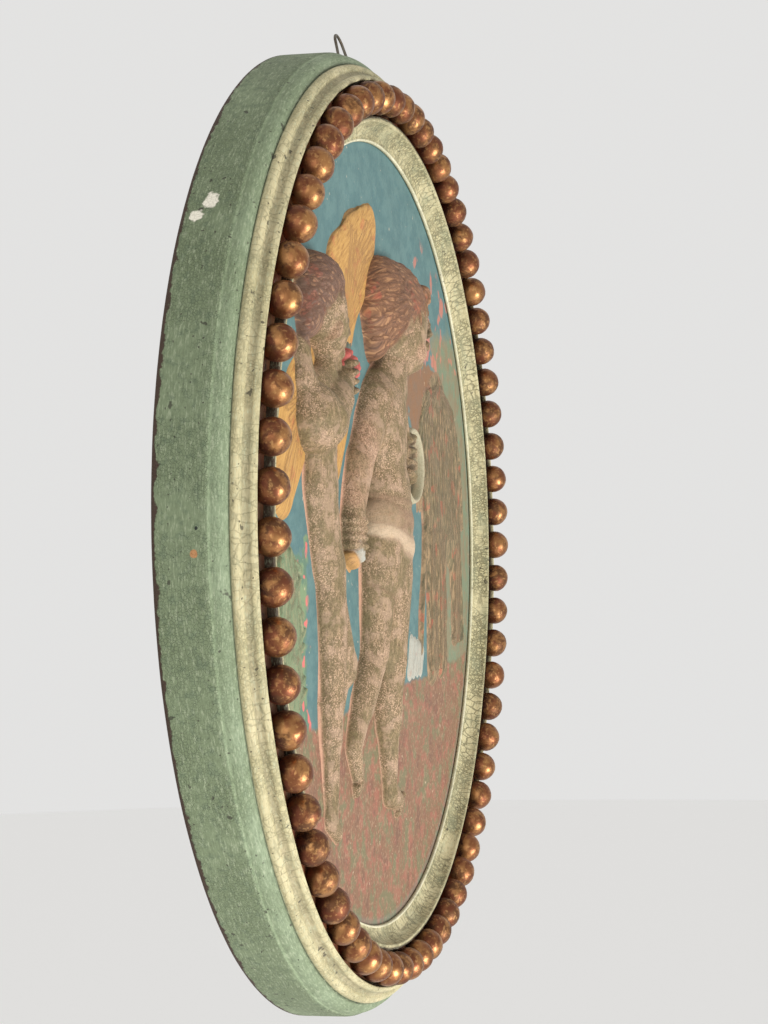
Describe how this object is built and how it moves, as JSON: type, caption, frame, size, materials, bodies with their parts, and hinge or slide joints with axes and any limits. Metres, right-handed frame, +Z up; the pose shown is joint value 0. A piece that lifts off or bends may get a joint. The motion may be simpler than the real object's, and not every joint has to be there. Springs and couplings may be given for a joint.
{
  "type": "cherub wall plaque",
  "caption": "Round wall plaque: a moulded ring frame with a row of beads around a painted relief of two winged children, hung by a wire loop.",
  "frame": {"origin": "centre of the flat back, in the plane of the wall", "axes": "+Z up as the plaque hangs, +Y into the wall, the relief faces -Y"},
  "size_m": [0.42, 0.0447, 0.4343],
  "materials": {
    "frame_paint": "crackled matt paint, sage green outside and cream inside",
    "bead_bronze": "rubbed bronze paint, satin",
    "relief_paint": "cast plaster, painted in matt colours",
    "loop_wire": "dull, aged wire"
  },
  "bodies": {
    "root": {"frame": "frame_paint", "bead_row": "bead_bronze", "relief_panel": "relief_paint", "hanging_loop": "loop_wire"}
  },
  "joints": []
}
